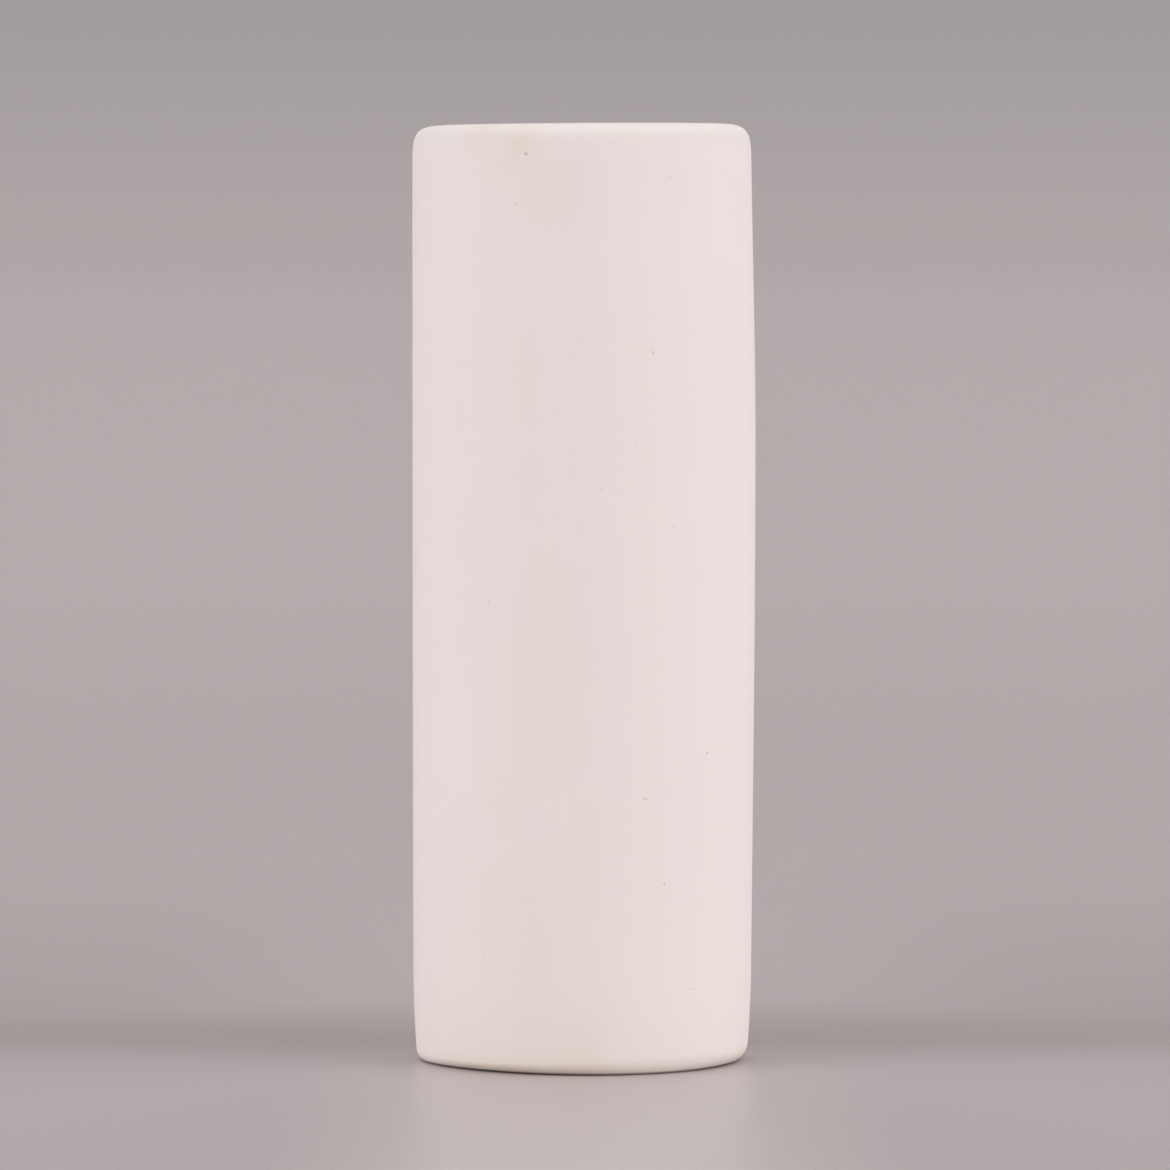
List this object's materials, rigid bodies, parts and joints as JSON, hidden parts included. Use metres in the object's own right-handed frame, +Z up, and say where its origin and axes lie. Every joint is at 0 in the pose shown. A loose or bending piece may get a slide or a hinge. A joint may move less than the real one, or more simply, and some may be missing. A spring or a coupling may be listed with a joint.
{
  "type": "cylindrical vase",
  "caption": "Tall cylindrical ceramic vase with a soft rounded lip, a rounded heel and a flat foot ring, open at the top to hold stems and water.",
  "frame": {"origin": "centre of the vase's box on the plane that the foot ring stands on", "axes": "+Z up along the vase, +X towards the side that swells a little more"},
  "size_m": [0.0916, 0.0916, 0.2502],
  "materials": {
    "matt_clay": "matt warm white, with pinholes and faint stains",
    "bare_clay": "raw, dry and slightly toasted",
    "clear_glaze": "glossy"
  },
  "bodies": {
    "root": {"body_wall": "matt_clay", "base_disc": "bare_clay", "seam_coil": "bare_clay", "inner_glaze": "clear_glaze"}
  },
  "joints": []
}
